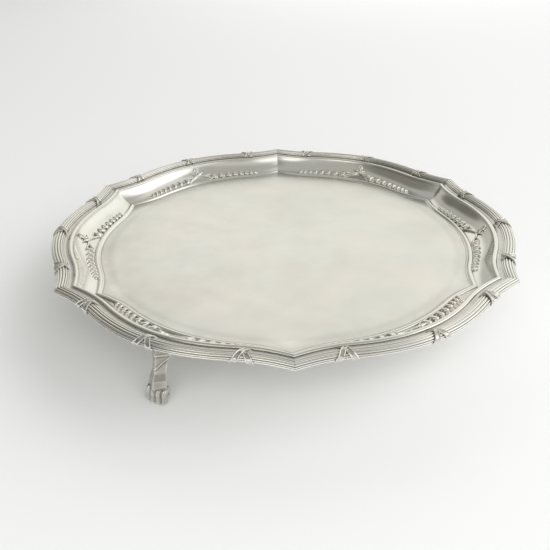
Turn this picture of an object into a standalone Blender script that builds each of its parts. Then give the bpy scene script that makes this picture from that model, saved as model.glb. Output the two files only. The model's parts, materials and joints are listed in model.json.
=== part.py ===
"""A footed silver salver: a six-lobed dish with a reeded border, ribbon ties, husk festoons and paw feet.

The frame: +Z up, the origin on the table under the middle of the dish, metres.
A lobe's middle, and a foot, lie on +X. A point of the border lies on +Y and on -Y.
Around the dish, a place is given by its angle and its inset, the distance in from the outer edge.
Heights are measured down from the crest of the border, unless a name says otherwise.
"""

import math

import bmesh
import bpy
from mathutils import Vector

MM = 0.001

# Driving dimensions
LOBES = 6
FEET = 3
POINT_RADIUS = 105.0 * MM
TOTAL_HEIGHT = 29.5 * MM
WELL_DEPTH = 8.3 * MM
SHEET = 1.0 * MM
GAP = 0.3 * MM

# The outline: each point flares out from the circle, and each lobe swells towards its middle.
# The foot of the bouge, and all inside it, swells by only a share of that
LOBE_DEG = 360 / LOBES
HALF_LOBE_DEG = LOBE_DEG / 2
FLARE = 5.2 * MM
FLARE_SPAN_DEG = 12.5
SWELL = 3.3 * MM
INNER_SWELL = 0.35

# Insets and drops of the dish's upper face, from the border's seat to the edge of the field
SEAT_OUTER = (1.5 * MM, -1.95 * MM)
SEAT_INNER = (5.1 * MM, -1.75 * MM)
CHANNEL = (6.6 * MM, -1.95 * MM)
RIDGE_TOP = (8.1 * MM, -1.1 * MM)
BOUGE_TOP = (9.2 * MM, -1.95 * MM)
BOUGE_FOOT = (15.7 * MM, -7.9 * MM)
BOUGE_SAG = 1.0 * MM
BOUGE_STEPS = 3
FILLET_TOP = (16.9 * MM, -7.4 * MM)
FIELD_EDGE = (18.5 * MM, -WELL_DEPTH)
FIELD_RADIUS = POINT_RADIUS - FIELD_EDGE[0]
DISH_STEPS = 120

# The border's section: the arch of reeds, and the flat underside that sits on the dish
BORDER_ARCH = [
    (1.15 * MM, -2.3 * MM),
    (0.45 * MM, -2.15 * MM),
    (0.0 * MM, -1.5 * MM),
    (0.3 * MM, -0.75 * MM),
    (1.2 * MM, -0.2 * MM),
    (2.6 * MM, 0.0 * MM),
    (3.9 * MM, -0.2 * MM),
    (4.8 * MM, -0.7 * MM),
    (5.15 * MM, -1.35 * MM),
]
ARCH_CENTRE = (2.6 * MM, -1.5 * MM)
BORDER_STEPS = 20

# Ribbon ties: two straps crossing over the reeds, and their places from a lobe's middle
TIE_PLACES_DEG = (-20.0, 0.0, 20.0)
STRAP_DEG = 1.4
STRAP_THICK = 0.5 * MM
STRAP_SPREAD_DEG = 1.4
TIE_GAP = 0.2 * MM
OVER_GAP = 0.3 * MM

# Husk festoons: a bow at the lobe's middle, and a string of husks each way
HUSKS = 8
BOW_INSET = 10.8 * MM
FESTOON_FIRST = (4.4, 13.9 * MM)
FESTOON_LAST = (22.0, 14.7 * MM)
FESTOON_GAP = 0.4 * MM
HUSK_WIDE = (3.6 * MM, 2.0 * MM)
HUSK_HIGH = (1.0 * MM, 0.6 * MM)
HUSK_WAIST = 0.55
RIBBON_WIDE = 1.4 * MM
RIBBON_HIGH = 0.5 * MM
BOW_WIDE = 3.4 * MM
BOW_HIGH = 1.0 * MM

# Paw feet: radii are from the dish's axis, and heights are above the table
TOE_RADIUS = 99.3 * MM
TOES = 4
TOE_PITCH = 2.3 * MM
TOE_SIZE = (2.8 * MM, 1.35 * MM, 2.2 * MM)
SOLE_RADIUS = 97.4 * MM
SOLE_SIZE = (3.9 * MM, 4.1 * MM, 1.5 * MM)
LEG_LINE = [
    (97.8 * MM, 2.6 * MM, 3.3 * MM),
    (97.4 * MM, 5.0 * MM, 3.9 * MM),
    (96.2 * MM, 7.8 * MM, 3.3 * MM),
    (94.4 * MM, 10.8 * MM, 2.8 * MM),
    (92.8 * MM, 14.6 * MM, 2.8 * MM),
    (91.6 * MM, 17.8 * MM, 3.2 * MM),
]
CUFF_FOOT = (92.4 * MM, 15.2 * MM)
CUFF_TOP_RADIUS = 90.0 * MM
CUFF_FOOT_SIZE = (5.6 * MM, 5.8 * MM)
CUFF_TOP_SIZE = (9.6 * MM, 7.4 * MM)
CUFF_BEVEL = 0.9 * MM
BAND_BOTTOM = 18.6 * MM
BAND_HEIGHT = 0.9 * MM
BAND_SIZE = (8.2 * MM, 7.6 * MM)

SILVER = (0.86, 0.85, 0.81)
SMOOTH_UP_TO_DEG = 40
WELD = 0.001 * MM


def lobed_radius(angle, inset):
    """A place's distance from the axis, from its angle from +X in radians and its inset."""
    from_middle = abs((math.degrees(angle) + HALF_LOBE_DEG) % LOBE_DEG - HALF_LOBE_DEG)
    from_point = HALF_LOBE_DEG - from_middle
    flared = min(from_point / FLARE_SPAN_DEG, 1.0)
    dip = FLARE * (1 - (1 - flared) ** 2)
    swell = SWELL * (1 - math.cos(math.pi * from_point / HALF_LOBE_DEG)) / 2
    down = (inset - RIDGE_TOP[0]) / (BOUGE_FOOT[0] - RIDGE_TOP[0])
    kept = 1 - (1 - INNER_SWELL) * min(max(down, 0.0), 1.0)
    radius = POINT_RADIUS - inset
    share = min(radius / FIELD_RADIUS, 1.0)
    return radius - share * (dip - kept * swell)


def bouge_curve():
    """The hollow curve from the ridge down to the fillet, as insets and drops."""
    points = []
    for i in range(BOUGE_STEPS + 1):
        share = i / BOUGE_STEPS
        inset = BOUGE_TOP[0] + share * (BOUGE_FOOT[0] - BOUGE_TOP[0])
        drop = BOUGE_TOP[1] + share * (BOUGE_FOOT[1] - BOUGE_TOP[1])
        points.append((inset, drop - BOUGE_SAG * math.sin(math.pi * share ** 0.8)))
    return points


def dish_upper():
    """The dish's upper face from its outer edge to the edge of the field."""
    return [SEAT_OUTER, SEAT_INNER, CHANNEL, RIDGE_TOP, *bouge_curve(), FILLET_TOP, FIELD_EDGE]


def shifted(line, distance):
    """An open line of (inset, height) points moved sideways, to the left of its direction."""
    moved = []
    for i, point in enumerate(line):
        before = line[max(i - 1, 0)]
        after = line[min(i + 1, len(line) - 1)]
        along = Vector((after[0] - before[0], after[1] - before[1])).normalized()
        moved.append((point[0] - along.y * distance, point[1] + along.x * distance))
    return moved


def height_on_dish(inset):
    """The upper face's height above the table at an inset."""
    line = dish_upper()
    for (inset_a, drop_a), (inset_b, drop_b) in zip(line, line[1:]):
        if inset <= inset_b:
            share = (inset - inset_a) / (inset_b - inset_a)
            return TOTAL_HEIGHT + drop_a + share * (drop_b - drop_a)
    return TOTAL_HEIGHT - WELL_DEPTH


def on_dish(angle, inset):
    """The point of the dish's upper face at an angle and an inset."""
    radius = lobed_radius(angle, inset)
    return Vector((radius * math.cos(angle), radius * math.sin(angle), height_on_dish(inset)))


def clear_scene():
    for obj in list(bpy.data.objects):
        bpy.data.objects.remove(obj, do_unlink=True)


def new_collection(name):
    collection = bpy.data.collections.new(name)
    bpy.context.scene.collection.children.link(collection)
    return collection


def silver(name, roughness):
    """A polished silver material with its own roughness."""
    material = bpy.data.materials.new(name)
    material.use_nodes = True
    shader = material.node_tree.nodes["Principled BSDF"]
    shader.inputs["Base Color"].default_value = (*SILVER, 1.0)
    shader.inputs["Metallic"].default_value = 1.0
    shader.inputs["Roughness"].default_value = roughness
    return material


def add_object(name, mesh, collection, material=None):
    obj = bpy.data.objects.new(name, mesh)
    collection.objects.link(obj)
    if material and not mesh.materials:
        mesh.materials.append(material)
    return obj


def baked_bmesh(obj):
    """A welded bmesh of an object, with its modifiers and its transform applied."""
    bpy.context.view_layer.update()
    graph = bpy.context.evaluated_depsgraph_get()
    mesh = bpy.data.meshes.new_from_object(obj.evaluated_get(graph))
    mesh.transform(obj.matrix_world)
    bm = bmesh.new()
    bm.from_mesh(mesh)
    bpy.data.meshes.remove(mesh)
    bmesh.ops.remove_doubles(bm, verts=bm.verts, dist=WELD)
    return bm


def solid_mesh(bm, name):
    """The mesh of a closed bmesh, facing out and shaded smooth except at its sharper edges."""
    bmesh.ops.recalc_face_normals(bm, faces=bm.faces)
    mesh = bpy.data.meshes.new(name)
    bm.to_mesh(mesh)
    bm.free()
    mesh.shade_smooth()
    mesh.set_sharp_from_angle(angle=math.radians(SMOOTH_UP_TO_DEG))
    return mesh


def turned_mesh(name, profile, first_deg, last_deg, steps, collection, turned_by=None):
    """A profile of (inset, drop) points turned about Z, then pushed in from a circle to the lobed outline.

    A profile that starts and ends on the axis is left open there. Any other is closed, and gets end caps.
    turned_by takes a point's inset and drop, and gives the angle in radians that the point is turned on by.
    """
    corners = [(POINT_RADIUS - inset, 0, TOTAL_HEIGHT + drop) for inset, drop in profile]
    edges = [(i, i + 1) for i in range(len(corners) - 1)]
    if corners[0][0] > 0:
        edges.append((len(corners) - 1, 0))
    line = bpy.data.meshes.new(name + "_profile")
    line.from_pydata(corners, edges, [])
    guide = add_object(name + "_profile", line, collection)
    screw = guide.modifiers.new("Turn", "SCREW")
    screw.angle = math.radians(last_deg - first_deg)
    screw.steps = screw.render_steps = steps
    screw.use_merge_vertices = True
    screw.merge_threshold = WELD
    guide.rotation_euler.z = math.radians(first_deg)
    turned = baked_bmesh(guide)
    bpy.data.objects.remove(guide, do_unlink=True)

    open_edges = [edge for edge in turned.edges if edge.is_boundary]
    if open_edges:
        bmesh.ops.holes_fill(turned, edges=open_edges)
    for vertex in turned.verts:
        radius = vertex.co.xy.length
        if radius < GAP:
            continue
        angle = math.atan2(vertex.co.y, vertex.co.x)
        if turned_by:
            angle += turned_by(POINT_RADIUS - radius, vertex.co.z - TOTAL_HEIGHT)
        pushed = lobed_radius(angle, POINT_RADIUS - radius)
        vertex.co.xy = (pushed * math.cos(angle), pushed * math.sin(angle))
    return solid_mesh(turned, name)


def loft_mesh(name, rings):
    """A closed solid through rings of points, each with the same count, capped at both ends."""
    bm = bmesh.new()
    rows = [[bm.verts.new(point) for point in ring] for ring in rings]
    count = len(rings[0])
    for row, following in zip(rows, rows[1:]):
        for i in range(count):
            j = (i + 1) % count
            bm.faces.new((row[i], row[j], following[j], following[i]))
    bm.faces.new(rows[0])
    bm.faces.new(rows[-1])
    return solid_mesh(bm, name)


def boolean(target, other, operation):
    modifier = target.modifiers.new(operation.title(), "BOOLEAN")
    modifier.operation = operation
    modifier.object = other


def make_dish(collection, material):
    """The dish: one raised sheet with its flat field, fillet, hollow bouge, ridge and the border's seat."""
    upper = dish_upper()
    lower = shifted(upper, -SHEET)
    axis = POINT_RADIUS
    field_under = (FIELD_EDGE[0] + SHEET / 2, -WELL_DEPTH - SHEET)
    profile = [(axis, -WELL_DEPTH), *reversed(upper), *lower[:-1], field_under, (axis, -WELL_DEPTH - SHEET)]
    mesh = turned_mesh("dish", profile, 0, 360, DISH_STEPS, collection)
    add_object("dish", mesh, collection, material)


def border_profile():
    """The arch of reeds with the underside that lies on the dish's seat."""
    seat = shifted([SEAT_OUTER, SEAT_INNER], GAP)
    return [*BORDER_ARCH, (BORDER_ARCH[-1][0] - 0.1 * MM, seat[1][1]), seat[0]]


def make_border(collection, material):
    """Six sections of reeded border, mitred where they meet at the points."""
    mitre_deg = math.degrees(GAP / 2 / POINT_RADIUS)
    half = HALF_LOBE_DEG - mitre_deg
    mesh = turned_mesh("border_section", border_profile(), -half, half, BORDER_STEPS, collection)
    for i in range(LOBES):
        section = add_object(f"border_section_{i + 1}", mesh, collection, material)
        section.rotation_euler.z = math.radians(i * LOBE_DEG)


def strap(place_deg, spread_deg, gap, cutters):
    """One ribbon strap over the arch of reeds, slanting across its crest."""

    def slant(inset, drop):
        round_arch = math.atan2(drop - ARCH_CENTRE[1], inset - ARCH_CENTRE[0]) % math.tau
        return math.radians(spread_deg) * (round_arch / (math.pi / 2) - 1)

    arch = BORDER_ARCH[1:]
    profile = [*shifted(arch, gap + STRAP_THICK), *reversed(shifted(arch, gap))]
    half = STRAP_DEG / 2
    mesh = turned_mesh("tie_strap", profile, place_deg - half, place_deg + half, 1, cutters, slant)
    return add_object("tie_strap", mesh, cutters)


def tie_mesh(place_deg, cutters):
    """Two straps crossing over the border, one on the other, joined in one."""
    under = strap(place_deg, STRAP_SPREAD_DEG, TIE_GAP, cutters)
    over = strap(place_deg, -STRAP_SPREAD_DEG, OVER_GAP, cutters)
    boolean(under, over, "UNION")
    mesh = solid_mesh(baked_bmesh(under), "ribbon_tie")
    for obj in (under, over):
        bpy.data.objects.remove(obj, do_unlink=True)
    return mesh


def make_ties(collection, cutters, material):
    """Ribbon ties over the reeds, one at each place of each lobe."""
    meshes = [tie_mesh(place_deg, cutters) for place_deg in TIE_PLACES_DEG]
    for lobe in range(LOBES):
        for place, mesh in enumerate(meshes):
            number = lobe * len(meshes) + place + 1
            tie = add_object(f"ribbon_tie_{number:02d}", mesh, collection, material)
            tie.rotation_euler.z = math.radians(lobe * LOBE_DEG)


def festoon_ring(angle, inset, along, width, height):
    """A low arched section across a festoon, a gap above the dish and square to the direction along it."""
    base = on_dish(angle, inset)
    towards_rim = (on_dish(angle, inset - 0.3 * MM) - on_dish(angle, inset + 0.3 * MM)).normalized()
    around = Vector((-math.sin(angle), math.cos(angle), 0))
    normal = towards_rim.cross(around)
    if normal.z < 0:
        normal.negate()
    across = along.cross(normal).normalized()
    foot = base + normal * FESTOON_GAP
    return [
        foot - across * width / 2,
        foot + across * width / 2,
        foot + across * width * 0.36 + normal * height * 0.7,
        foot + normal * height,
        foot - across * width * 0.36 + normal * height * 0.7,
    ]


def festoon_line():
    """The festoon from the bow outwards: (angle in degrees, inset, width, height) of each section."""
    line = [
        (0.0, BOW_INSET, BOW_WIDE * 0.7, BOW_HIGH),
        (0.7, BOW_INSET, BOW_WIDE, BOW_HIGH),
        (1.4, BOW_INSET + 0.3 * MM, BOW_WIDE * 0.8, BOW_HIGH * 0.8),
        (2.0, BOW_INSET + 1.0 * MM, RIBBON_WIDE, RIBBON_HIGH),
        (3.4, FESTOON_FIRST[1] - 1.1 * MM, RIBBON_WIDE, RIBBON_HIGH),
    ]
    (first_deg, first_inset), (last_deg, last_inset) = FESTOON_FIRST, FESTOON_LAST
    pitch = (last_deg - first_deg) / HUSKS
    for husk in range(HUSKS):
        share = husk / (HUSKS - 1)
        inset = first_inset + (last_inset - first_inset) * share
        width = HUSK_WIDE[0] + (HUSK_WIDE[1] - HUSK_WIDE[0]) * share
        height = HUSK_HIGH[0] + (HUSK_HIGH[1] - HUSK_HIGH[0]) * share
        start_deg = first_deg + husk * pitch
        line.append((start_deg, inset, width * HUSK_WAIST, height * HUSK_WAIST))
        line.append((start_deg + pitch * 0.7, inset, width, height))
    line.append((last_deg, last_inset, HUSK_WIDE[1] * HUSK_WAIST, HUSK_HIGH[1] * HUSK_WAIST))
    return line


def make_festoons(collection, material):
    """A husk festoon in each lobe's bouge: a bow under the ridge, and a string of husks to each side."""
    half = festoon_line()
    whole = [(-deg, *rest) for deg, *rest in reversed(half[1:])] + half
    points = [on_dish(math.radians(deg), inset) for deg, inset, _, _ in whole]
    rings = []
    for i, (deg, inset, width, height) in enumerate(whole):
        along = (points[min(i + 1, len(points) - 1)] - points[max(i - 1, 0)]).normalized()
        rings.append(festoon_ring(math.radians(deg), inset, along, width, height))
    mesh = loft_mesh("husk_festoon", rings)
    for i in range(LOBES):
        festoon = add_object(f"husk_festoon_{i + 1}", mesh, collection, material)
        festoon.rotation_euler.z = math.radians(i * LOBE_DEG)


def ball(name, centre, size, collection):
    """A scaled ball, as a mesh object with its scale applied."""
    bm = bmesh.new()
    bmesh.ops.create_uvsphere(bm, u_segments=10, v_segments=7, radius=1)
    bmesh.ops.scale(bm, verts=bm.verts, vec=size)
    bmesh.ops.translate(bm, verts=bm.verts, vec=centre)
    return add_object(name, solid_mesh(bm, name), collection)


def sole(collection):
    """The paw's flat sole, an oval pad standing on the table."""
    length, width, height = SOLE_SIZE
    bm = bmesh.new()
    bmesh.ops.create_cone(bm, cap_ends=True, segments=16, radius1=1, radius2=0.9, depth=1)
    bmesh.ops.scale(bm, verts=bm.verts, vec=(length, width, height))
    bmesh.ops.translate(bm, verts=bm.verts, vec=(SOLE_RADIUS, 0, height / 2))
    return add_object("foot_sole", solid_mesh(bm, "foot_sole"), collection)


def leg(collection):
    """The leg, a curve that swells at the cuff and at the ankle, made a mesh."""
    curve = bpy.data.curves.new("foot_leg", "CURVE")
    curve.dimensions = "3D"
    curve.bevel_depth = 1.0
    curve.bevel_resolution = 2
    curve.use_fill_caps = True
    spline = curve.splines.new("POLY")
    spline.points.add(len(LEG_LINE) - 1)
    for point, (radius, height, thick) in zip(spline.points, LEG_LINE):
        point.co = (radius, 0, height, 1)
        point.radius = thick
    guide = add_object("foot_leg_line", curve, collection)
    mesh = solid_mesh(baked_bmesh(guide), "foot_leg")
    bpy.data.objects.remove(guide, do_unlink=True)
    return add_object("foot_leg", mesh, collection)


def block(name, low, high, low_size, high_size, collection):
    """A four-sided block between two (radius, height) places, with its long edges bevelled."""
    bm = bmesh.new()
    bmesh.ops.create_cube(bm, size=1)
    for vertex in bm.verts:
        radius, height = high if vertex.co.z > 0 else low
        across, along = high_size if vertex.co.z > 0 else low_size
        vertex.co = (radius + vertex.co.x * across, vertex.co.y * along, height)
    edges = [edge for edge in bm.edges if edge.verts[0].co.z != edge.verts[1].co.z]
    bmesh.ops.bevel(bm, geom=edges, offset=CUFF_BEVEL, segments=2, affect="EDGES")
    return add_object(name, solid_mesh(bm, name), collection)


def cuff(collection):
    """The flared cuff at the top of a foot, taller than it will be once it is cut to the dish."""
    top = (CUFF_TOP_RADIUS, TOTAL_HEIGHT + BOUGE_TOP[1])
    return block("foot_cuff", CUFF_FOOT, top, CUFF_FOOT_SIZE, CUFF_TOP_SIZE, collection)


def band(collection):
    """The raised band round the cuff."""
    rise = (BAND_BOTTOM - CUFF_FOOT[1]) / (TOTAL_HEIGHT + BOUGE_TOP[1] - CUFF_FOOT[1])
    radius = CUFF_FOOT[0] + rise * (CUFF_TOP_RADIUS - CUFF_FOOT[0])
    low = (radius, BAND_BOTTOM)
    high = (radius, BAND_BOTTOM + BAND_HEIGHT)
    return block("foot_band", low, high, BAND_SIZE, BAND_SIZE, collection)


def above_dish(cutters):
    """A cutter of everything above the dish's underside, a gap lower, over one lobe's middle."""
    under = shifted(dish_upper(), -(SHEET + GAP))
    reach = HALF_LOBE_DEG / 2
    inner = (FIELD_EDGE[0] + 4 * MM, -WELL_DEPTH - SHEET - GAP)
    profile = [*under[:-1], inner, (inner[0], SHEET), (SEAT_OUTER[0], SHEET)]
    mesh = turned_mesh("above_dish", profile, -reach, reach, 10, cutters)
    cutter = add_object("above_dish", mesh, cutters)
    cutter.hide_render = True
    cutter.display_type = "WIRE"
    return cutter


def make_feet(collection, cutters, material):
    """Three paw feet: each is one piece, sole, toes, leg and cuff, cut at the top to lie under the bouge."""
    body = cuff(cutters)
    pieces = [band(cutters), leg(cutters), sole(cutters)]
    for toe in range(TOES):
        side = (toe - (TOES - 1) / 2) * TOE_PITCH
        back = 0.12 * side * side / TOE_PITCH
        centre = (TOE_RADIUS - back, side, TOE_SIZE[2] + 0.25 * MM)
        pieces.append(ball(f"foot_toe_{toe + 1}", centre, TOE_SIZE, cutters))
    for piece in pieces:
        boolean(body, piece, "UNION")
    cutter = above_dish(cutters)
    boolean(body, cutter, "DIFFERENCE")
    mesh = solid_mesh(baked_bmesh(body), "paw_foot")
    for obj in (*pieces, body, cutter):
        bpy.data.objects.remove(obj, do_unlink=True)
    for i in range(FEET):
        foot = add_object(f"paw_foot_{i + 1}", mesh, collection, material)
        foot.rotation_euler.z = math.radians(i * 360 / FEET)


def hold_together(collection):
    """Parents every piece to one empty at the origin, so that the salver moves as one."""
    pieces = list(collection.objects)
    handle = add_object("salver", None, collection)
    for piece in pieces:
        piece.parent = handle


def main():
    clear_scene()
    salver = new_collection("salver")
    cutters = new_collection("cutters")
    make_dish(salver, silver("dish_silver", 0.14))
    make_border(salver, silver("border_silver", 0.16))
    make_ties(salver, cutters, silver("tie_silver", 0.18))
    make_festoons(salver, silver("festoon_silver", 0.2))
    make_feet(salver, cutters, silver("foot_silver", 0.16))
    hold_together(salver)


main()
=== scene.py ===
"""The looks of a footed silver salver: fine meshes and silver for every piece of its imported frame.

A place on the dish is given by its angle from +X, by its inset, the distance in from the outer edge,
and by its drop, the height over the crest of the border, which is negative below it.
"""

import json
import math

import bmesh
import bpy
import numpy as np
from mathutils import Matrix, Vector


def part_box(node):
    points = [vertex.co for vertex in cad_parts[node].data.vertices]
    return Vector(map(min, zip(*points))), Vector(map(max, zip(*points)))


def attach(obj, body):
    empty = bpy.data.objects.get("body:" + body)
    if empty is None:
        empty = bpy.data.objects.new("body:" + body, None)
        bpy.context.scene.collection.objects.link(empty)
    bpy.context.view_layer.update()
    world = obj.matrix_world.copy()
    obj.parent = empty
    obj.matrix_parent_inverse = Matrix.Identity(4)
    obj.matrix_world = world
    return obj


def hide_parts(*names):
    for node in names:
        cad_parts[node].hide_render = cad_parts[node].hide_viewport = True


MM = 0.001
WELD = 0.002 * MM  # vertices that are nearer than this are joined

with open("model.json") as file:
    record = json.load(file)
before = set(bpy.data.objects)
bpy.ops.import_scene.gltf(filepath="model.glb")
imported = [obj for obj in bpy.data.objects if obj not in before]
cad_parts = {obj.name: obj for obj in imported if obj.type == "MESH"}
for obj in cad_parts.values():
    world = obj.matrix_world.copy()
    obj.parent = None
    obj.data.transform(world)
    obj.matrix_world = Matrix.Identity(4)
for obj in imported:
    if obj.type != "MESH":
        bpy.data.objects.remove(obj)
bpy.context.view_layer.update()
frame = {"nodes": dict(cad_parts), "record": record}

# The frame's own sizes
LOBES = sum(name.startswith("border_section") for name in frame["nodes"])
TIES = sum(name.startswith("ribbon_tie") for name in frame["nodes"])
FEET = sum(name.startswith("paw_foot") for name in frame["nodes"])
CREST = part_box("border_section_1")[1].z
MIDDLE_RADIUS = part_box("border_section_1")[1].x
POINT_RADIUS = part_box("border_section_2")[1].y
FIELD_Z = next(m["pos_m"][2] for m in frame["record"]["mounts"] if m["name"] == "field")

# The outline
LOBE = math.tau / LOBES
FLARE_SPAN = math.radians(12.5)
SWELL = 3.3 * MM
FLARE = POINT_RADIUS + SWELL - MIDDLE_RADIUS
INNER_SWELL = 0.35  # the share of the swell that is left inside the bouge

# The dish's section, as insets and drops
SHEET = 1.0 * MM
FOOT_GAP = 0.05 * MM  # between its underside and the tops of the feet
FIELD_DROP = FIELD_Z - CREST
FLANGE_EDGE = (1.5 * MM, -1.97 * MM)
FLANGE_INNER = (4.9 * MM, -1.5 * MM)
CHANNEL_DIP = 0.3 * MM
RIDGE = (8.1 * MM, -1.1 * MM)
RIDGE_HALF = 0.95 * MM
RIDGE_FOOT_DROP = -1.85 * MM
BOUGE_TOP = (9.1 * MM, -1.95 * MM)
BOUGE_FOOT = (15.6 * MM, -7.95 * MM)
BOUGE_SAG = 1.0 * MM
BOUGE_LEAN = 0.8  # below 1, the sag is deepest nearer the ridge
FILLET = (16.9 * MM, -7.4 * MM)
FILLET_HALF = 1.15 * MM
FILLET_FOOT_DROP = BOUGE_FOOT[1] - 0.05 * MM
COVE_END = (18.6 * MM, FIELD_DROP)
FIELD_MARGIN = 0.4 * MM  # how far inside the field's edge its first ring lies
DISH_HOLLOWS = [  # where it is darkened, part tarnish and part painted shade: inset, half width and depth
    (5.15 * MM, 0.45 * MM, 0.9),
    (6.15 * MM, 0.85 * MM, 0.65),
    (7.1 * MM, 0.25 * MM, 0.9),
    (9.15 * MM, 0.25 * MM, 0.7),
    (15.75 * MM, 0.3 * MM, 0.7),
    (18.65 * MM, 0.35 * MM, 1.0),
]
FIELD_RADIUS = POINT_RADIUS - COVE_END[0]
STEPS_TO_LOBE = 60
CHANNEL_STEPS = 6
RIDGE_STEPS = 15
BOUGE_STEPS = 26
FILLET_STEPS = 8
COVE_STEPS = 18
FIELD_STEPS = 13
UNDER_STRIDE = 3  # the underside has this many times fewer steps from the channel on

# The border's section
REEDS = 7
OUTER_REED = 1.4  # the outermost reed's width, in the others' widths
ARCH_CENTRE = (2.6 * MM, -1.5 * MM)
ARCH_HALF = (2.6 * MM, 1.5 * MM)
ARCH_SPAN = math.radians(212)
REED_DEPTH = 0.36 * MM
REED_ROUND = 0.96  # how much of a half circle's width a reed's top takes
REED_STEPS = 10
GROOVE_FROM = 0.5  # where the darkening between the reeds, part tarnish and part painted shade, starts, in half widths from a reed's middle
BORDER_LIP = np.array([(0.9, -2.34), (1.2, -2.2), (1.3, -1.68), (4.9, -1.46)]) * MM  # its underside
MITRE_GAP = 0.05 * MM
BORDER_STEPS = 72


def lobed_radius(angle, inset):
    """A place's distance from the axis, for an angle and an inset or for arrays of them."""
    from_middle = np.abs((np.asarray(angle) + LOBE / 2) % LOBE - LOBE / 2)
    from_point = LOBE / 2 - from_middle
    flared = np.minimum(from_point / FLARE_SPAN, 1)
    dip = FLARE * (1 - (1 - flared) ** 2)
    swell = SWELL * (1 - np.cos(np.pi * from_point / (LOBE / 2))) / 2
    inward = np.clip((np.asarray(inset) - RIDGE[0]) / (BOUGE_FOOT[0] - RIDGE[0]), 0, 1)
    kept = 1 - (1 - INNER_SWELL) * inward
    radius = POINT_RADIUS - np.asarray(inset)
    share = np.minimum(radius / FIELD_RADIUS, 1)
    return radius - share * (dip - kept * swell)


def turned_points(section, angles):
    """A grid of points: each place of the section in turn, at each angle, on the lobed outline."""
    radius = lobed_radius(angles[None, :], section[:, 0][:, None])
    height = np.broadcast_to(CREST + section[:, 1][:, None], radius.shape)
    return np.stack([radius * np.cos(angles), radius * np.sin(angles), height], axis=-1)


def grid_mesh(name, grid, hollows, wrap_rows=False, wrap_columns=False, caps=False, sharp_deg=35):
    """A mesh over a grid of points, shaded smooth up to an angle. Caps close the ends of a tube of columns.

    hollows says for each row how far it lies in a hollow, from 0 to 1, where the silver is darkened by
    tarnish and painted shade.
    """
    rows, columns, _ = grid.shape
    faces = []
    for i in range(rows if wrap_rows else rows - 1):
        for j in range(columns if wrap_columns else columns - 1):
            a, b = i * columns + j, i * columns + (j + 1) % columns
            c, d = ((i + 1) % rows) * columns + (j + 1) % columns, ((i + 1) % rows) * columns + j
            faces.append((a, b, c, d))
    if caps:
        faces.append([i * columns for i in range(rows)])
        faces.append([i * columns + columns - 1 for i in range(rows)])
    mesh = bpy.data.meshes.new(name)
    mesh.from_pydata(grid.reshape(-1, 3).tolist(), [], faces)
    mark_hollows(mesh, np.repeat(hollows, columns))
    finish_mesh(mesh, sharp_deg)
    return mesh


def mark_hollows(mesh, hollows):
    """Gives each of a mesh's vertices its hollow, for the silver to read."""
    layer = mesh.attributes.new("hollow", "FLOAT", "POINT")
    layer.data.foreach_set("value", np.asarray(hollows, dtype=np.float32))


def finish_mesh(mesh, sharp_deg):
    """Welds a mesh, turns its faces outwards and shades it smooth up to an angle."""
    bm = bmesh.new()
    bm.from_mesh(mesh)
    bmesh.ops.remove_doubles(bm, verts=bm.verts, dist=WELD)
    bmesh.ops.recalc_face_normals(bm, faces=bm.faces)
    bm.to_mesh(mesh)
    bm.free()
    mesh.shade_smooth()
    mesh.set_sharp_from_angle(angle=math.radians(sharp_deg))


def add_piece(name, mesh, material, nodes):
    """Adds a piece that stands for some nodes of the frame and rides with it."""
    piece = bpy.data.objects.new(name, mesh)
    bpy.context.scene.collection.objects.link(piece)
    if not mesh.materials:
        mesh.materials.append(material)
    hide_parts(*nodes)
    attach(piece, "root")


def turned_copy(mesh, angle):
    """A copy of a mesh turned about the dish's axis."""
    copy = mesh.copy()
    copy.transform(Matrix.Rotation(angle, 4, "Z"))
    return copy


def bead(centre, half, foot_drop, to_turn, steps):
    """A round bead of the section from its outer foot to a turn, as insets and drops."""
    height = centre[1] - foot_drop
    turn = np.linspace(np.pi, to_turn, steps)
    return np.stack([centre[0] + half * np.cos(turn), foot_drop + height * np.sin(turn)], axis=-1)


def bouge(steps):
    """The hollow curve from the ridge down to the fillet."""
    share = np.linspace(0, 1, steps)
    inset = BOUGE_TOP[0] + share * (BOUGE_FOOT[0] - BOUGE_TOP[0])
    drop = BOUGE_TOP[1] + share * (BOUGE_FOOT[1] - BOUGE_TOP[1])
    return np.stack([inset, drop - BOUGE_SAG * np.sin(np.pi * share**BOUGE_LEAN)], axis=-1)


def cove(steps):
    """The fillet's inner face, which rounds over from its crest and runs out into the field."""
    share = np.linspace(0, 1, steps + 1)[1:]
    inset = FILLET[0] + share * (COVE_END[0] - FILLET[0])
    fall = share**3 * (10 - 15 * share + 6 * share**2)
    return np.stack([inset, FILLET[1] + fall * (FIELD_DROP - FILLET[1])], axis=-1)


def dish_hollows(section):
    """How far each place of the dish's section lies in a hollow: the channel, and the feet of its beads."""
    hollows = np.zeros(len(section))
    for inset, half, depth in DISH_HOLLOWS:
        hollows = np.maximum(hollows, depth * np.exp(-(((section[:, 0] - inset) / half) ** 2)))
    return hollows


def dish_upper():
    """The dish's upper section, from its flange to the edge of the field."""
    flange = np.array([FLANGE_EDGE, FLANGE_INNER])
    across = np.linspace(0, 1, CHANNEL_STEPS + 1)[1:-1]
    channel_inset = FLANGE_INNER[0] + across * (RIDGE[0] - RIDGE_HALF - FLANGE_INNER[0])
    channel_drop = FLANGE_INNER[1] + across * (RIDGE_FOOT_DROP - FLANGE_INNER[1])
    channel_drop -= CHANNEL_DIP * np.sin(np.pi * across)
    channel = np.stack([channel_inset, channel_drop], axis=-1)
    ridge = bead(RIDGE, RIDGE_HALF, RIDGE_FOOT_DROP, 0, RIDGE_STEPS)
    fillet = bead(FILLET, FILLET_HALF, FILLET_FOOT_DROP, np.pi / 2, FILLET_STEPS)
    return np.concatenate([flange, channel, ridge, bouge(BOUGE_STEPS), fillet, cove(COVE_STEPS)])


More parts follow.
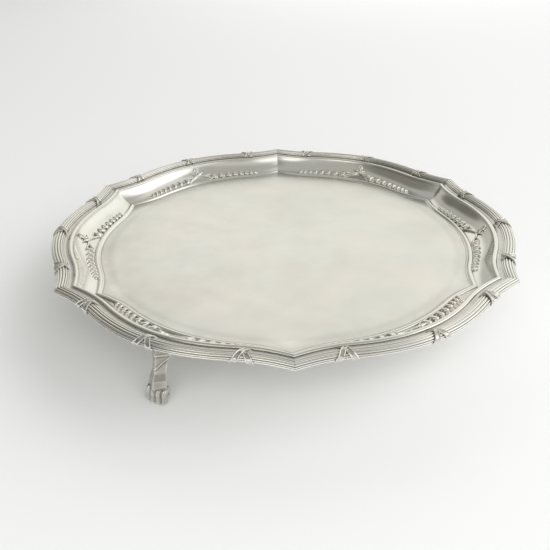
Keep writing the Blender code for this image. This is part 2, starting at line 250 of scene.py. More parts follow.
def offset_line(line, distance):
    """A section's line moved square to itself, downwards for a negative distance."""
    along = np.gradient(line, axis=0)
    along /= np.linalg.norm(along, axis=1)[:, None]
    return line + np.stack([-along[:, 1], along[:, 0]], axis=-1) * distance


def make_dish(material):
    """The dish, one raised sheet with its field, fillet, bouge, ridge and flange."""
    upper = dish_upper()
    coarse = upper[np.concatenate([[0, 1], np.arange(CHANNEL_STEPS, len(upper), UNDER_STRIDE)])]
    lower = offset_line(coarse, -SHEET)
    rings = np.linspace(COVE_END[0], POINT_RADIUS, FIELD_STEPS + 1)[1:]
    field = np.concatenate([[COVE_END[0] + FIELD_MARGIN], rings])
    field_top = np.stack([field, np.full(len(field), FIELD_DROP)], axis=-1)
    field_under = field_top - (0, SHEET)
    section = np.concatenate([field_top[::-1], upper[::-1], lower, field_under])
    steps = LOBES * STEPS_TO_LOBE
    angles = np.arange(steps) * math.tau / steps
    grid = turned_points(section, angles)
    mesh = grid_mesh("dish_fine", grid, dish_hollows(section), wrap_columns=True, sharp_deg=40)
    crease_at_points(mesh)
    add_piece("dish_fine", mesh, material, ["dish"])


def crease_at_points(mesh):
    """Marks the dish's edges along the rays through the points of the outline sharp."""
    for edge in mesh.edges:
        ends = [mesh.vertices[i].co for i in edge.vertices]
        inner = min(end.xy.length for end in ends)
        if inner < FIELD_RADIUS - FLARE:
            continue
        turns = [(math.atan2(end.y, end.x) + LOBE / 2) / LOBE for end in ends]
        if all(abs(turn - round(turn)) < 1e-4 for turn in turns):
            edge.use_edge_sharp = True


def arch_point(turn, lift=0.0):
    """A point on the border's arch: a turn of 0 is its inner foot, and a half turn its outermost side."""
    square = np.stack([np.cos(turn) / ARCH_HALF[0], np.sin(turn) / ARCH_HALF[1]], axis=-1)
    square /= np.linalg.norm(square, axis=-1)[..., None]
    inset = ARCH_CENTRE[0] + ARCH_HALF[0] * np.cos(turn)
    drop = ARCH_CENTRE[1] + ARCH_HALF[1] * np.sin(turn)
    return np.stack([inset, drop], axis=-1) + square * np.asarray(lift)[..., None]


def reeded_section():
    """The border's closed section, reeds over the arch and the underside on the flange, and its hollows."""
    across = np.linspace(-REED_ROUND, REED_ROUND, REED_STEPS)
    round_top = 1 - np.sqrt(1 - across**2)
    reeds = []
    widths = np.array([1.0] * (REEDS - 1) + [OUTER_REED])
    bounds = ARCH_SPAN * np.concatenate([[0], np.cumsum(widths)]) / widths.sum()
    for start, end in zip(bounds, bounds[1:]):
        turn = (start + end) / 2 + (end - start) * across / 2
        reeds.append(arch_point(turn, -REED_DEPTH * round_top / round_top.max()))
    groove = np.clip((np.abs(across) - GROOVE_FROM) / (REED_ROUND - GROOVE_FROM), 0, 1) ** 1.5
    # the grooves, and the underside in full, are darkened as tarnish and painted shade
    hollows = np.concatenate([np.tile(groove, REEDS), np.ones(len(BORDER_LIP))])
    return np.concatenate([*reeds, BORDER_LIP]), hollows


def make_border(material):
    """The reeded border, one length to a lobe, each mitred at the points."""
    half = LOBE / 2 - MITRE_GAP / POINT_RADIUS
    angles = np.linspace(-half, half, BORDER_STEPS + 1)
    section, hollows = reeded_section()
    grid = turned_points(section, angles)
    mesh = grid_mesh("border_fine", grid, hollows, wrap_rows=True, caps=True, sharp_deg=38)
    for i in range(LOBES):
        length = turned_copy(mesh, i * LOBE)
        add_piece(f"border_fine_{i + 1}", length, material, [f"border_section_{i + 1}"])


# The ribbon ties. A strap runs along the arch's turn, and is shifted sideways along the border on its way
TIE_PLACES = [math.radians(x) for x in (-20.0, 0.0, 20.0)]
STRAP_THICK = 0.3 * MM
STRAP_RIM = 0.24 * MM
STRAP_RIM_AT = 0.8  # how far its rim is from its middle, in half widths of the strap
STRAP_RIM_HALF = 0.17
STRAP_TURNS = (math.radians(3), math.radians(206))
STRAP_CROSS = math.radians(66)  # the turn where two straps cross
STRAP_HUMP = 0.75  # the half length, as a turn, of the upper strap's rise over the lower one
STRAP_SHIFTS = (-2.3 * MM, 3.3 * MM)  # at its inner and outer ends, as are the half widths
STRAP_HALVES = (1.05 * MM, 1.5 * MM)
STRAP_END = 0.6  # the share of its width that a strap has at its very ends
STRAP_WIDENING = 0.4  # the turn in which a strap would gain its whole width
STRAP_LIFTS = (0.0, 0.3 * MM)  # of the lower and the upper strap where they cross
STRAP_CROWN = 0.3  # the share of its thickness that a strap loses at its edges
STRAP_BACK_AT = 0.94  # where the edges of its back are, in half widths
STRAP_BACK_RISE = 0.6  # the share of the rise that its back follows
STRAP_SINK = 0.1 * MM  # how deep its back lies in the reeds
STRAP_HOLLOWS = (0.4, 0.9)  # how far it lies in a hollow between its rims and at its edges, darkened as tarnish and painted shade
STRAP_STEPS = 40
STRAP_PLACES = 17


def strap_grid(side, lift):
    """One ribbon strap over the reeds, in rings of an upper face and a flat back, and its hollows."""
    across = np.linspace(-1, 1, STRAP_PLACES)
    rim = np.exp(-(((np.abs(across) - STRAP_RIM_AT) / STRAP_RIM_HALF) ** 2))
    inner, outer = STRAP_TURNS[0] - STRAP_CROSS, STRAP_TURNS[1] - STRAP_CROSS
    bend = (STRAP_SHIFTS[0] / inner - STRAP_SHIFTS[1] / outer) / (inner - outer)
    slope = STRAP_SHIFTS[1] / outer - bend * outer
    rings = []
    for turn in np.linspace(*STRAP_TURNS, STRAP_STEPS):
        share = (turn - STRAP_TURNS[0]) / (outer - inner)
        past = turn - STRAP_CROSS
        shift = side * (slope * past + bend * past * past)
        hump = lift * math.exp(-((past / STRAP_HUMP) ** 2))
        half = STRAP_HALVES[0] + (STRAP_HALVES[1] - STRAP_HALVES[0]) * share
        end = min(turn - STRAP_TURNS[0], STRAP_TURNS[1] - turn)
        taper = min(1.0, STRAP_END + end / STRAP_WIDENING)
        face = STRAP_THICK + STRAP_RIM * rim - STRAP_CROWN * STRAP_THICK * np.abs(across) ** 4 + hump
        back = np.full(3, hump * STRAP_BACK_RISE - STRAP_SINK)
        lifts = np.concatenate([face, back])
        sides = np.concatenate([across, [STRAP_BACK_AT, 0, -STRAP_BACK_AT]]) * half * taper
        places = arch_point(np.full(len(lifts), turn), lifts)
        rings.append(np.column_stack([places, shift + sides]))
    between, at_edge = np.abs(across) < STRAP_RIM_AT, np.abs(across) == 1
    hollows = STRAP_HOLLOWS[0] * (1 - rim) * between + STRAP_HOLLOWS[1] * at_edge
    return np.array(rings), np.concatenate([hollows, np.ones(3)])


def tie_mesh(place):
    """The two straps of a tie at a place of the lobe, one crossing over the other."""
    bm = bmesh.new()
    for side, lift in zip((1, -1), STRAP_LIFTS):
        rings, hollows = strap_grid(side, lift)
        angle = place + rings[..., 2] / POINT_RADIUS
        radius = lobed_radius(angle, rings[..., 0])
        grid = np.stack([radius * np.cos(angle), radius * np.sin(angle), CREST + rings[..., 1]], axis=-1)
        strap = grid_mesh("strap", np.swapaxes(grid, 0, 1), hollows, wrap_rows=True, caps=True)
        bm.from_mesh(strap)
        bpy.data.meshes.remove(strap)
    mesh = bpy.data.meshes.new("tie_fine")
    bm.to_mesh(mesh)
    bm.free()
    finish_mesh(mesh, sharp_deg=50)
    return mesh


def make_ties(material):
    """The ribbon ties, at each place of each lobe."""
    meshes = [tie_mesh(place) for place in TIE_PLACES]
    for number in range(1, TIES + 1):
        lobe, place = divmod(number - 1, len(meshes))
        tie = turned_copy(meshes[place], lobe * LOBE)
        add_piece(f"tie_fine_{number:02d}", tie, material, [f"ribbon_tie_{number:02d}"])


# To find the hollows of a casting's skin, a copy is smoothed. The skin is at its darkest, as tarnish and
# painted shade, where it lies
# HOLLOW_FULL voxels under that copy
HOLLOW_PASSES = 10
HOLLOW_FULL = 0.9


class Casting:
    """Overlapping rounded lumps, in millimetres, fused into one cast skin."""

    def __init__(self):
        self.bm = bmesh.new()

    def lump(self, centre, size, axes=None, detail=2):
        """An ellipsoid of three half sizes at a centre, along three axes."""
        turn = Matrix.Identity(3) if axes is None else axes
        place = Matrix.Translation(centre) @ turn.to_4x4() @ Matrix.Diagonal((*size, 1))
        bmesh.ops.create_icosphere(self.bm, subdivisions=detail, radius=1, matrix=place)

    def strand(self, points, size, normals):
        """A chain of lumps of one size along a line of points, with a surface's normal at each."""
        for i, point in enumerate(points):
            along = points[min(i + 1, len(points) - 1)] - points[max(i - 1, 0)]
            self.lump(point, size, axes_of(along, normals[i]))

    def block(self, corners):
        """A closed eight-cornered block: four corners below in turn, then the four above them."""
        verts = [self.bm.verts.new(corner) for corner in corners]
        for face in ((0, 1, 2, 3), (4, 5, 6, 7), (0, 1, 5, 4), (1, 2, 6, 5), (2, 3, 7, 6), (3, 0, 4, 7)):
            self.bm.faces.new([verts[i] for i in face])

    def fused(self, name, voxel, smoothing, flat):
        """One smoothed skin round all the lumps, in metres. flat is how hollow a flat place counts."""
        bmesh.ops.recalc_face_normals(self.bm, faces=self.bm.faces)
        rough = bpy.data.meshes.new(name + "_rough")
        self.bm.to_mesh(rough)
        self.bm.free()
        guide = bpy.data.objects.new(name + "_rough", rough)
        bpy.context.scene.collection.objects.link(guide)
        remesh = guide.modifiers.new("Fuse", "REMESH")
        remesh.mode = "VOXEL"
        remesh.voxel_size = voxel
        smooth = guide.modifiers.new("Smooth", "SMOOTH")
        smooth.factor = 0.5
        smooth.iterations = smoothing
        graph = bpy.context.evaluated_depsgraph_get()
        mesh = bpy.data.meshes.new_from_object(guide.evaluated_get(graph))
        bpy.data.objects.remove(guide, do_unlink=True)
        mesh.name = name
        mark_hollows(mesh, skin_hollows(mesh, voxel, flat))
        mesh.transform(Matrix.Diagonal((MM, MM, MM, 1)))
        mesh.shade_smooth()
        return mesh


def skin_hollows(mesh, voxel, flat):
    """How far each vertex of a skin lies in a hollow, by how far a smoothed copy stands over it."""
    count = len(mesh.vertices)
    points, normals = np.empty(count * 3), np.empty(count * 3)
    mesh.vertices.foreach_get("co", points)
    mesh.vertices.foreach_get("normal", normals)
    points, normals = points.reshape(-1, 3), normals.reshape(-1, 3)
    ends = np.empty(len(mesh.edges) * 2, dtype=np.int64)
    mesh.edges.foreach_get("vertices", ends)
    near, far = ends[0::2], ends[1::2]
    links = np.bincount(ends, minlength=count)

    def blurred(values):
        sums = np.bincount(near, values[far], count) + np.bincount(far, values[near], count)
        return sums / np.maximum(links, 1)

    smooth = points
    for _ in range(HOLLOW_PASSES):
        smooth = np.stack([blurred(smooth[:, axis]) for axis in range(3)], axis=-1)
    over = ((smooth - points) * normals).sum(axis=1)
    return np.clip(flat + blurred(over) / (HOLLOW_FULL * voxel), 0, 1)


def axes_of(along, normal):
    """Three axes as a matrix's columns: across, along and square to a surface."""
    along = along.normalized()
    across = along.cross(normal).normalized()
    return Matrix((across, along, across.cross(along))).transposed()


UPPER = dish_upper()


def on_dish(angle, inset, lift=0.0):
    """A point over the dish's upper face in millimetres, and the face's normal there."""
    near = 0.05 * MM
    drops = np.interp([inset - near, inset, inset + near], UPPER[:, 0], UPPER[:, 1])
    slope = (drops[2] - drops[0]) / (2 * near)
    out = Vector((math.cos(angle), math.sin(angle), 0))
    normal = (Vector((0, 0, 1)) + out * slope).normalized()
    radius = float(lobed_radius(angle, inset))
    point = out * radius + Vector((0, 0, CREST + float(drops[1])))
    return point / MM + normal * (lift / MM), normal


# The husks of a festoon: their insets, their half widths in millimetres and their pitches, first and last
HUSKS = 8
HUSKS_FROM = math.radians(4.3)
HUSKS_TO = math.radians(22.2)
HUSK_INSETS = (14.0 * MM, 14.9 * MM)
HUSK_HALVES = (1.7, 1.05)
HUSK_PITCHES = (1.35, 0.7)
HUSK_LEVEL = 1.6  # how strongly a husk is turned from square to the bouge towards upright
COLLAR_STEPS = 13
COLLAR_RISE = 0.8
COLLAR_ARCH = 0.8  # 1 would bring its ends down to the dish
COLLAR_REACH = 0.3
COLLAR_SWEEP = 0.14
BODY_REACH = 0.62
BODY_SINK = 0.05
# Half sizes, as a share of the husk's half width, as a share of its length, and in millimetres
COLLAR_SIZE = (0.2, 0.25, 0.45)
BODY_SIZE = (0.85, 0.45, 0.5)

# The ribbons that they hang from: a twist from under the ridge to a knot, then two strands to each side and a
# short tail. Places are in degrees and millimetres of inset, and the rest is in millimetres
HUNG = (0.0, 9.5)
KNOT = (0.0, 12.5)
KNOT_SIZE = (0.7, 0.7, 0.6)
KNOT_LIFT = 0.35
TWIST = (0.95, 0.4, 0.55)  # half width, half thickness and lift
STRANDS = [  # start, end, sway, half thickness and lift
    (KNOT, (4.6, 15.3), 0.5, 0.42, 0.5),
    (KNOT, (4.5, 12.8), -0.45, 0.42, 0.5),
    ((0.5, 12.4), (1.9, 11.4), 0.15, 0.36, 0.45),
]
TWIST_STEPS = 26
STRAND_PITCH = 0.45  # from lump to lump along a strand, in its half thicknesses
STRAND_LEAST = 6  # the fewest steps of a strand
# Half sizes of a lump, in half thicknesses
STRAND_SIZE = (1, 0.9, 1.1)
TWIST_SIZE = (1, 0.9, 1.2)


def add_husk(casting, start, end, half):
    """One husk between two places: an arched collar towards the bow, and a low rounded body after it."""
    point, normal = on_dish(*start)
    finish, _ = on_dish(*end)
    length = (finish - point).length
    along = (finish - point).normalized()
    normal = (normal + Vector((0, 0, HUSK_LEVEL))).normalized()
    across = along.cross(normal).normalized()
    axes = axes_of(along, normal)
    for step in range(COLLAR_STEPS):
        side = 2 * step / (COLLAR_STEPS - 1) - 1
        rise = COLLAR_RISE * math.sqrt(1 - COLLAR_ARCH * side * side)
        reach = length * (COLLAR_REACH + COLLAR_SWEEP * side * side)
        centre = point + across * side * half + along * reach + normal * rise
        casting.lump(centre, (half * COLLAR_SIZE[0], length * COLLAR_SIZE[1], COLLAR_SIZE[2]), axes)
    body = point + along * length * BODY_REACH - normal * BODY_SINK
    casting.lump(body, (half * BODY_SIZE[0], length * BODY_SIZE[1], BODY_SIZE[2]), axes)


def line_on_dish(start, end, steps, lift):
    """The points of a line over the dish between two places: each one's share, angle, point and normal."""
    for step in range(steps + 1):
        share = step / steps
        angle = start[0] + (end[0] - start[0]) * share
        inset = start[1] + (end[1] - start[1]) * share
        yield share, angle, *on_dish(angle, inset, lift * MM)


def add_strand(casting, start, end, sway, thick, lift):
    """One strand of ribbon between two places on the dish, bowed sideways by its sway."""
    a, _ = on_dish(*start)
    b, normal = on_dish(*end)
    across = (b - a).cross(normal).normalized()
    steps = max(int((b - a).length / (thick * STRAND_PITCH)), STRAND_LEAST)
    points, normals = [], []
    for share, _, point, normal in line_on_dish(start, end, steps, lift):
        points.append(point + across * sway * math.sin(math.pi * share) ** 0.75)
        normals.append(normal)
    casting.strand(points, [thick * share for share in STRAND_SIZE], normals)


def add_twist(casting, start, end, half, thick, lift):
    """A twisted ribbon between two places on the dish, as two strands that part and meet twice."""
    for side in (-1, 1):
        points, normals = [], []
        for share, angle, point, normal in line_on_dish(start, end, TWIST_STEPS, lift):
            around = Vector((-math.sin(angle), math.cos(angle), 0))
            points.append(point + around * side * half * abs(math.sin(math.tau * share)) ** 0.8)
            normals.append(normal)
        casting.strand(points, [thick * share for share in TWIST_SIZE], normals)


def husk_places():
    """The husks of one string from the bow outwards: each one's first place, last place and half width."""
    pitches = np.linspace(*HUSK_PITCHES, HUSKS)
    reached = np.concatenate([[0], np.cumsum(pitches)])
    angles = HUSKS_FROM + (HUSKS_TO - HUSKS_FROM) * reached / pitches.sum()
    insets = np.linspace(*HUSK_INSETS, HUSKS + 1)
    halves = np.linspace(*HUSK_HALVES, HUSKS)
    return [((angles[i], insets[i]), (angles[i + 1], insets[i + 1]), halves[i]) for i in range(HUSKS)]


def lobe_place(degrees, inset, side=1):
    """A place on the dish, from degrees to one side of a lobe's middle and an inset in millimetres."""
    return side * math.radians(degrees), inset * MM


def festoon_mesh():
    """A twisted ribbon hung under the ridge, its two strands to each side, and a string of husks at each."""
    casting = Casting()
    add_twist(casting, lobe_place(*HUNG), lobe_place(*KNOT), *TWIST)
    knot, normal = on_dish(*lobe_place(*KNOT), KNOT_LIFT * MM)
    casting.lump(knot, KNOT_SIZE, axes_of(Vector((0, 1, 0)), normal))
    for side in (-1, 1):
        for start, end, sway, thick, lift in STRANDS:
            add_strand(casting, lobe_place(*start, side), lobe_place(*end, side), sway * side, thick, lift)
        for start, end, half in husk_places():
            start = (side * start[0], start[1])
            end = (side * end[0], end[1])
            add_husk(casting, start, end, half)
    return casting.fused("festoon_fine", voxel=0.12, smoothing=2, flat=0.0)


def make_festoons(material):
    """The husk festoons, one to a lobe."""
    mesh = festoon_mesh()
    for i in range(LOBES):
        festoon = turned_copy(mesh, i * LOBE)
        add_piece(f"festoon_fine_{i + 1}", festoon, material, [f"husk_festoon_{i + 1}"])


# The paw feet, in millimetres. The leg has four flat sides, with a keel at its front
LEG = [  # out from the axis, height, half depth out and half width along the border
    (91.8, 27.4, 3.8, 5.0),
    (92.9, 21.5, 3.3, 4.3),
    (94.5, 15.8, 2.8, 3.2),
    (95.8, 12.2, 2.8, 3.2),
    (96.8, 9.6, 3.2, 3.8),
    (97.3, 7.0, 3.3, 4.2),
    (97.0, 4.6, 2.6, 4.2),
]
TOES = 4
TOE_PITCH = 2.2
TOE_SPREAD = 0.06  # how much the outer toes turn outwards
TOE_SETBACK = 0.11  # the outer toes lie further back
TOE_STEPS = 21
TOE_LINE = [  # out from the axis, height, and half sizes across, along and up
    (97.2, 5.6, 1.1, 1.5, 1.3),
    (98.4, 5.2, 1.22, 1.4, 1.35),
    (99.0, 3.9, 1.08, 1.2, 1.4),
    (98.9, 2.5, 1.2, 1.35, 1.5),
    (99.1, 1.2, 1.16, 1.4, 1.2),
    (100.1, 0.7, 0.3, 0.6, 0.6),
]
PADS = [  # centre, and half sizes
    ((96.6, 0, 1.7), (3.5, 3.5, 1.7)),
    ((95.4, 0, 2.8), (2.5, 2.9, 2.8)),
]
CUFF_GROW = 0.4
BANDS = (19.0, 21.4)
BAND_GROW = 0.8
BAND_HEIGHT = 0.9
LEAF_TOP = 18.2
LEAF_TIP = 14.2
LEAF_STEPS = 24
LEAF_RISE = 0.4  # from lump to lump
LEAF_RIM = 0.62
LEAF_FILLING = 0.4
LEAF_HALF_HEIGHT = 0.45  # of each of its lumps
LEAF_UNDER = 0.3  # how far it reaches up under the cuff


def foot_mesh():
    """A lion's paw: toes with knuckles and claws, pads, a keeled leg, and a banded, pointed cuff."""
    casting = Casting()
    for high, low in zip(LEG, LEG[1:]):
        add_prism(casting, low, high)
    given = range(len(TOE_LINE))
    places = np.linspace(0, len(TOE_LINE) - 1, TOE_STEPS)
    toe_rows = np.stack([np.interp(places, given, values) for values in zip(*TOE_LINE)], axis=-1)
    for toe in range(TOES):
        along = (toe - (TOES - 1) / 2) * TOE_PITCH
        back = TOE_SETBACK * along * along / TOE_PITCH
        heading = Vector((1, along * TOE_SPREAD, 0)).normalized()
        axes = axes_of(heading, Vector((0, 0, 1)))
        for out, height, *size in toe_rows:
            casting.lump(Vector((out - back, along, height)), size, axes, detail=3)
    for centre, size in PADS:
        casting.lump(Vector(centre), size, detail=3)
    add_leaf(casting)
    add_prism(casting, leg_ring(LEAF_TOP, CUFF_GROW), leg_ring(LEG[0][1], CUFF_GROW))
    for height in BANDS:
        add_prism(casting, leg_ring(height, BAND_GROW), leg_ring(height + BAND_HEIGHT, BAND_GROW))
    # flat=0.7 darkens even the paw's flat skin: painted shade under the dish
    return trimmed_foot(casting.fused("paw_fine", voxel=0.15, smoothing=6, flat=0.7))


def leg_ring(height, grow):
    """A ring of the leg at a height, grown outwards: its middle, height and two half sizes."""
    heights = [ring[1] for ring in reversed(LEG)]
    middle, half_out, half_along = (
        float(np.interp(height, heights, [ring[i] for ring in reversed(LEG)])) for i in (0, 2, 3)
    )
    return (middle, height, half_out + grow, half_along + grow)


def add_prism(casting, low, high):
    """A closed four-sided prism between two rings of the leg, its edges to the front, back and sides."""
    corners = []
    for out, height, half_out, half_along in (low, high):
        for x, y in ((1, 0), (0, 1), (-1, 0), (0, -1)):
            corners.append((out + x * half_out, y * half_along, height))
    casting.block(corners)


def add_leaf(casting):
    """The cuff's lower edge, drawn down to a point on the leg's keel: a raised rim, and its filling."""
    for side in (-1, 1):
        for step in range(LEAF_STEPS + 1):
            over = step / LEAF_STEPS
            edge = LEAF_TIP + (LEAF_TOP - LEAF_TIP) * over
            heights = np.arange(edge, LEAF_TOP + LEAF_UNDER, LEAF_RISE)
            for height in heights:
                out, _, half_out, half_along = leg_ring(float(height), 0.0)
                point = Vector((out + half_out * (1 - over), side * half_along * over, float(height)))
                thick = LEAF_RIM if height == edge else LEAF_FILLING
                casting.lump(point, (thick, thick, LEAF_HALF_HEIGHT), detail=1)


def trimmed_foot(mesh):
    """The foot cut level at the table and along the underside of the dish."""
    bm = bmesh.new()
    bm.from_mesh(mesh)
    under = offset_line(UPPER, -(SHEET + FOOT_GAP))
    under = under[np.argsort(-under[:, 0])]
    for vertex in bm.verts:
        angle = math.atan2(vertex.co.y, vertex.co.x)
        radii = lobed_radius(angle, under[:, 0])
        ceiling = CREST + float(np.interp(vertex.co.xy.length, radii, under[:, 1]))
        vertex.co.z = min(max(vertex.co.z, 0.0), ceiling)
    bm.to_mesh(mesh)
    bm.free()
    mesh.shade_smooth()
    return mesh


def make_feet(material):
    """The paw feet, spaced evenly round the dish."""
    mesh = foot_mesh()
    for i in range(FEET):
        foot = turned_copy(mesh, i * math.tau / FEET)
        add_piece(f"paw_fine_{i + 1}", foot, material, [f"paw_foot_{i + 1}"])


class Nodes:
    """A short way to write a material's nodes."""

    def __init__(self, tree):
        self.tree = tree

    def add(self, kind, inputs=None, **settings):
        """A node with its settings, and its inputs as values or as other nodes' outputs."""
        node = self.tree.nodes.new(kind)
        for name, value in settings.items():
            setattr(node, name, value)
        for name, value in (inputs or {}).items():
            if isinstance(value, bpy.types.NodeSocket):
                self.tree.links.new(value, node.inputs[name])
            else:
                node.inputs[name].default_value = value
        return node

    def noise(self, scale, detail, roughness, where):
        """A noise at a place."""
        inputs = {"Scale": scale, "Detail": detail, "Roughness": roughness, "Vector": where}
        return self.add("ShaderNodeTexNoise", inputs).outputs["Fac"]

    def spread(self, value, low, high, to_low, to_high):
        """A value's range, mapped to another and kept inside it."""
        inputs = {"Value": value, "From Min": low, "From Max": high, "To Min": to_low, "To Max": to_high}
        return self.add("ShaderNodeMapRange", inputs).outputs["Result"]

    def maths(self, operation, a, b):
        """A sum or another operation on two numbers."""
        return self.add("ShaderNodeMath", {0: a, 1: b}, operation=operation).outputs[0]

    def vector_maths(self, operation, output, *values):
        """An operation on vectors, and which of its outputs is wanted."""
        inputs = dict(enumerate(values))
        return self.add("ShaderNodeVectorMath", inputs, operation=operation).outputs[output]

    def stretched(self, where, scale, turn):
        """A place scaled unevenly and turned about Z, to draw a noise out into lines."""
        inputs = {"Vector": where, "Scale": scale, "Rotation": (0, 0, turn)}
        return self.add("ShaderNodeMapping", inputs).outputs[0]

    def mix(self, factor, a, b):
        """A mix of two colours."""
        inputs = {0: factor, 6: a, 7: b}  # by number, as the node has other sockets of the same names
        return self.add("ShaderNodeMix", inputs, data_type="RGBA").outputs[2]


# The silver's tints: bright and dull, of the raised silver and of the cast feet, whose tints are darker as
# painted shade under the dish, a warmer drift, and the dark of the hollows, part tarnish and part painted
# shade
RAISED = [(0.93, 0.93, 0.885), (0.875, 0.87, 0.81)]
# the feet's tints are darker as painted shade under the dish
CAST_IN_SHADE = [(0.83, 0.82, 0.765), (0.73, 0.72, 0.665)]
WARM = (0.955, 0.91, 0.845)
# the dark of the hollows: part tarnish, part painted shade in the grooves, crevices and under the border
TARNISH_AND_SHADE = (0.13, 0.122, 0.1)
TARNISH_ROUGH = 0.2
SCRATCH_DEPTH = 0.02 * MM
SATIN_EDGE = 8 * MM  # how far inside the field's points it is fully satin


def silver(name, tints, rough, scratch, hammer, tarnish_and_shade, satin=0):
    """Silver with drifts of tint, uneven polish, fine scratches and a slightly uneven surface.

    rough is the least and greatest roughness, scratch the strength of the scratches and hammer the height
    of the surface's waves. The next argument is how dark the hollows are painted, for their tarnish and for
    the shade that falls in them, and satin how much rougher the field is.
    """
    material = bpy.data.materials.new(name)
    material.use_nodes = True
    tree = material.node_tree
    shader = tree.nodes["Principled BSDF"]
    shader.inputs["Metallic"].default_value = 1.0
    nodes = Nodes(tree)
    where = nodes.add("ShaderNodeTexCoord").outputs["Object"]
    drift = nodes.noise(28, 4, 0.6, where)
    bright, dull = tints
    tint = nodes.mix(nodes.spread(drift, 0.38, 0.66, 0, 1), (*bright, 1), (*dull, 1))
    moved = nodes.add("ShaderNodeMapping", {"Vector": where, "Location": (0.3, 0.1, 0)}).outputs[0]
    warmth = nodes.spread(nodes.noise(32, 3, 0.5, moved), 0.42, 0.66, 0, 0.7)
    tint = nodes.mix(warmth, tint, (*WARM, 1))
    # The hollows are darkened towards the hollows' dark colour: real tarnish in part, and in part painted
    # shade in the grooves, crevices and under the border
    hollow = nodes.add("ShaderNodeAttribute", attribute_name="hollow").outputs["Fac"]
    patches = nodes.spread(nodes.noise(160, 3, 0.6, where), 0.3, 0.7, 0.7, 1.0)
    patchy = nodes.maths("MULTIPLY", hollow, patches)
    tint = nodes.mix(nodes.maths("MULTIPLY", patchy, tarnish_and_shade), tint, (*TARNISH_AND_SHADE, 1))
    tree.links.new(tint, shader.inputs["Base Color"])
    polish = nodes.noise(70, 5, 0.65, where)
    polished = nodes.spread(polish, 0.35, 0.7, *rough)
    roughness = nodes.maths("ADD", polished, nodes.maths("MULTIPLY", patchy, TARNISH_ROUGH))
    if satin:
        flat = nodes.vector_maths("MULTIPLY", "Vector", where, (1, 1, 0))
        out = nodes.vector_maths("LENGTH", "Value", flat)
        field = nodes.spread(out, FIELD_RADIUS - FLARE, FIELD_RADIUS - SATIN_EDGE, 0, satin)
        roughness = nodes.maths("ADD", roughness, field)
    tree.links.new(roughness, shader.inputs["Roughness"])
    fine = nodes.noise(2600, 3, 0.6, nodes.stretched(where, (1.0, 0.07, 1.0), 0.7))
    crossing = nodes.noise(2100, 3, 0.6, nodes.stretched(where, (0.06, 1.0, 1.0), 0.25))
    scratches = nodes.maths("ADD", fine, crossing)
    scratched = {"Height": scratches, "Strength": scratch, "Distance": SCRATCH_DEPTH}
    bump = nodes.add("ShaderNodeBump", scratched).outputs[0]
    waves = nodes.noise(55, 2, 0.4, where)
    uneven = {"Height": waves, "Strength": 1.0, "Distance": hammer, "Normal": bump}
    tree.links.new(nodes.add("ShaderNodeBump", uneven).outputs[0], shader.inputs["Normal"])
    return material


# The studio
FLOOR_HALF = 15.0
CAMERA_FROM = (-0.0942, -2.6709, 1.2826)  # in point radii, from the middle of the border's crest
CAMERA_HEADING = 0.0210  # to the right of +Y, in radians, as are the two below
CAMERA_DOWN = 0.5203
CAMERA_ROLL = -0.0097
CAMERA_LENS = 44.65


def make_camera():
    """The camera, in front of the salver and above it."""
    data = bpy.data.cameras.new("camera")
    data.lens = CAMERA_LENS
    data.sensor_width = 36
    data.clip_start = 0.005
    camera = bpy.data.objects.new("camera", data)
    bpy.context.scene.collection.objects.link(camera)
    level, east, north = math.cos(CAMERA_DOWN), math.sin(CAMERA_HEADING), math.cos(CAMERA_HEADING)
    ahead = Vector((east * level, north * level, -math.sin(CAMERA_DOWN)))
    right = Vector((north, -east, 0))
    up = right.cross(ahead)
    rolled = right * math.cos(CAMERA_ROLL) + up * math.sin(CAMERA_ROLL)
    axes = Matrix((rolled, rolled.cross(ahead), -ahead)).transposed()
    stand = Vector(CAMERA_FROM) * POINT_RADIUS + Vector((0, 0, CREST))
    camera.matrix_world = Matrix.Translation(stand) @ axes.to_4x4()
    bpy.context.scene.camera = camera


def make_floor():
    """A plain pale floor."""
    bm = bmesh.new()
    bmesh.ops.create_grid(bm, x_segments=8, y_segments=8, size=FLOOR_HALF)
    mesh = bpy.data.meshes.new("floor")
    bm.to_mesh(mesh)
    bm.free()
    floor = bpy.data.objects.new("floor", mesh)
    bpy.context.scene.collection.objects.link(floor)
    material = bpy.data.materials.new("floor_paper")
    material.use_nodes = True
    shader = material.node_tree.nodes["Principled BSDF"]
    shader.inputs["Base Color"].default_value = (0.855, 0.863, 0.867, 1)
    shader.inputs["Roughness"].default_value = 0.9
    mesh.materials.append(material)


# What surrounds the salver: soft round panels, painted on the sky in turn
SKY = (0.42, 0.415, 0.395)
PANELS = [  # azimuth from +X, elevation, radius of the full core, radius of the edge, and colour
    (290, 36, 12, 36, (0.58, 0.58, 0.56)),
    (75, 2, 22, 48, (0.6, 0.6, 0.57)),
    (54, 24, 12, 23, (0.83, 0.825, 0.785)),
    (72, 26, 13, 22, (0.91, 0.905, 0.86)),
    (92, 27, 12, 20, (0.88, 0.875, 0.83)),
    (120, 12, 8, 22, (0.5, 0.49, 0.46)),
    (106, 58, 9, 18, (0.22, 0.215, 0.2)),
    (40, 18, 10, 24, (1.0, 1.0, 0.95)),
    (34, 55, 5, 14, (0.72, 0.72, 0.69)),
    (2, 33, 16, 28, (1.5, 1.5, 1.5)),
    (318, 27, 6, 27, (1.25, 1.25, 1.25)),
    (178, 36, 18, 31, (0.2, 0.195, 0.17)),
    (140, 25, 8, 16, (0.16, 0.155, 0.135)),
    (235, 26, 8, 26, (1.6, 1.59, 1.52)),
    (205, 26, 8, 20, (0.2, 0.195, 0.17)),
    (190, 6, 14, 26, (0.14, 0.135, 0.12)),
]


def direction(azimuth, elevation):
    """A direction from the salver, from its azimuth from +X and its elevation in degrees."""
    a, e = math.radians(azimuth), math.radians(elevation)
    return math.cos(a) * math.cos(e), math.sin(a) * math.cos(e), math.sin(e)


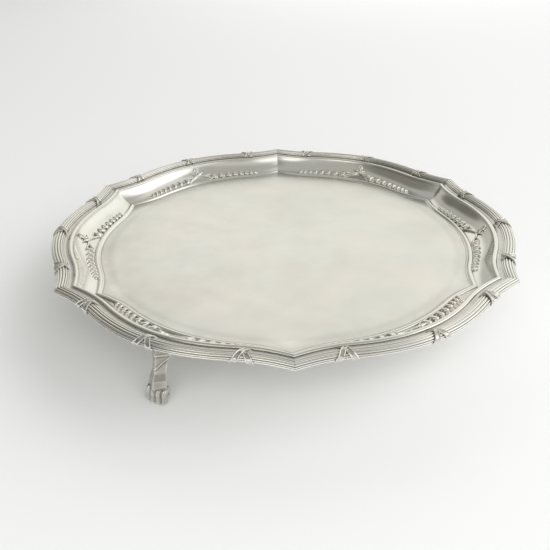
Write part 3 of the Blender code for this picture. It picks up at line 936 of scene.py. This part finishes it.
def make_sky():
    """Soft studio surroundings, of pale and bright panels with a few dark ones at the left and behind."""
    world = bpy.data.worlds.new("studio")
    bpy.context.scene.world = world
    world.use_nodes = True
    tree = world.node_tree
    nodes = Nodes(tree)
    toward = nodes.add("ShaderNodeTexCoord").outputs["Generated"]
    colour = (*SKY, 1)
    for azimuth, elevation, core, edge, paint in PANELS:
        facing = nodes.vector_maths("DOT_PRODUCT", "Value", toward, direction(azimuth, elevation))
        inputs = {
            "Value": facing,
            "From Min": math.cos(math.radians(edge)),
            "From Max": math.cos(math.radians(core)),
        }
        cover = nodes.add("ShaderNodeMapRange", inputs, interpolation_type="SMOOTHSTEP").outputs["Result"]
        colour = nodes.mix(cover, colour, (*paint, 1))
    tree.links.new(colour, tree.nodes["Background"].inputs["Color"])
    tree.nodes["Background"].inputs["Strength"].default_value = 1.0


# Soft lights for the floor, which the silver doesn't mirror
FILLS = [  # name, azimuth from +X, elevation, distance, size and power
    ("fill_front", -80, 28, 0.9, 0.9, 4.7),
    ("fill_right", -5, 35, 1.0, 0.9, 3.2),
    ("fill_back", 75, 30, 1.2, 1.0, 3.4),
]


def make_lights():
    """Soft lights round the salver, all facing it."""
    for name, azimuth, elevation, distance, size, power in FILLS:
        data = bpy.data.lights.new(name, "AREA")
        data.size = size
        data.energy = power
        light = bpy.data.objects.new(name, data)
        bpy.context.scene.collection.objects.link(light)
        light.location = Vector(direction(azimuth, elevation)) * distance
        light.rotation_euler = (-light.location).to_track_quat("-Z", "Y").to_euler()
        light.visible_glossy = False


def main():
    """Makes the studio and every piece."""
    make_camera()
    make_floor()
    make_sky()
    make_lights()
    bpy.context.scene.view_settings.view_transform = "Standard"
    make_dish(silver("dish_silver", RAISED, (0.12, 0.2), 0.04, 0.05 * MM, 0.6, satin=0.16))
    make_border(silver("border_silver", RAISED, (0.12, 0.22), 0.08, 0.02 * MM, 0.82))
    make_ties(silver("tie_silver", RAISED, (0.14, 0.24), 0.06, 0.02 * MM, 0.75))
    make_festoons(silver("festoon_silver", RAISED, (0.12, 0.22), 0.06, 0.02 * MM, 0.45))
    make_feet(silver("foot_silver", CAST_IN_SHADE, (0.1, 0.2), 0.08, 0.03 * MM, 0.85))


main()
